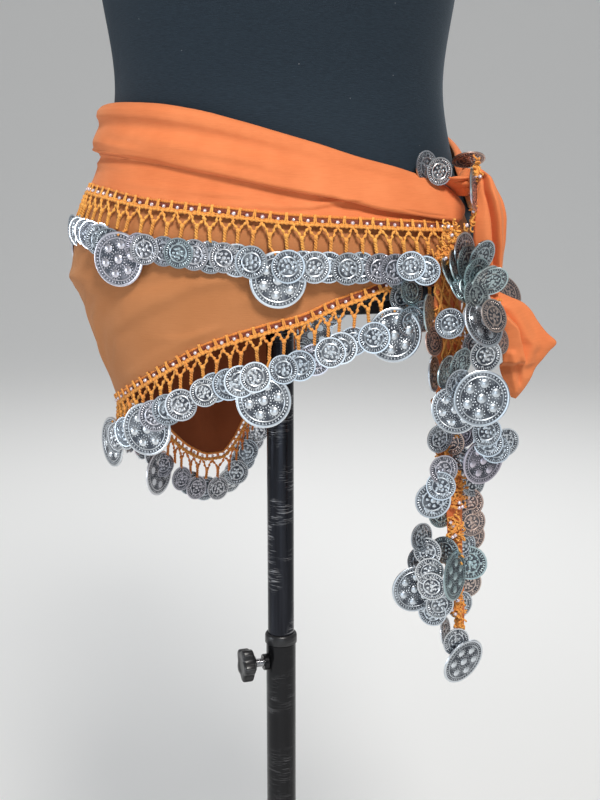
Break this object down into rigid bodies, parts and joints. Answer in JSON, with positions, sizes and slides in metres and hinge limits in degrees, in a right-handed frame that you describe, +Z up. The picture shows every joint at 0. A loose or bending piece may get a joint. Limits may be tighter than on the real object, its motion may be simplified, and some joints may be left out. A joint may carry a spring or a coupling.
{
  "type": "belly dance hip scarf on a dress form",
  "caption": "Hip scarf of folded cloth with crocheted edges and hanging coins, wound round and tied at the hip of a limbless dress form on a telescopic stand.",
  "frame": {"origin": "on the floor, at the centre of the base plate's underside, on the axis of the stand", "axes": "+Z up, -Y to the front of the dress form, +X to its left side, where the scarf is tied"},
  "size_m": [0.3936, 0.35, 1.4894],
  "materials": {
    "jersey": "matt fine knit",
    "black_plastic": "satin",
    "chrome": "dark polished",
    "worn_tube": "dark, scratched by the clamp",
    "black_steel": "powder coat",
    "orange_cloth": "soft plain weave, slight sheen",
    "crochet_and_coins": "cotton yarn with metal coins",
    "coin_metal": "stamped, darkened in the hollows"
  },
  "bodies": {
    "stand": {"base_plate": "black_steel", "foot_ring": "black_steel", "lower_tube": "chrome", "tube_collar": "black_plastic", "clamp_boss": "chrome"},
    "form": {"form_torso": "jersey", "form_neck_cap": "black_plastic", "form_bottom_board": "black_plastic", "form_flange": "chrome", "upper_tube": "worn_tube", "short_flap_front": "orange_cloth", "short_flap_back": "orange_cloth", "long_layer_front": "orange_cloth", "long_layer_back": "orange_cloth", "knot_core": "orange_cloth", "tail_loop": "orange_cloth", "tail_fan": "orange_cloth", "tail_long": "orange_cloth", "fringe_upper_front": "crochet_and_coins", "fringe_upper_back": "crochet_and_coins", "fringe_lower_front": "crochet_and_coins", "fringe_lower_back": "crochet_and_coins", "coin_bunch_loop": "crochet_and_coins", "coin_bunch_left": "crochet_and_coins", "coin_bunch_right": "crochet_and_coins", "medallion_upper_1": "coin_metal", "medallion_upper_2": "coin_metal", "medallion_upper_3": "coin_metal", "medallion_upper_4": "coin_metal", "medallion_upper_5": "coin_metal", "medallion_upper_6": "coin_metal", "medallion_lower_7": "coin_metal", "medallion_lower_8": "coin_metal", "medallion_lower_9": "coin_metal", "medallion_lower_10": "coin_metal", "medallion_lower_11": "coin_metal", "medallion_lower_12": "coin_metal", "medallion_lower_13": "coin_metal"},
    "clamp": {"clamp_screw": "chrome", "clamp_knob": "black_plastic"}
  },
  "joints": [
    {"name": "height_slide", "type": "slide", "parent": "stand", "child": "form", "axis": [0, 0, 1], "range_m": [-0.2, 0.15]},
    {"name": "clamp_turn", "type": "hinge", "parent": "stand", "child": "clamp", "pos_m": [-0.02235, -0.00726, 0.564], "axis": [-0.9511, -0.309, 0], "range_deg": [0, 360]}
  ]
}
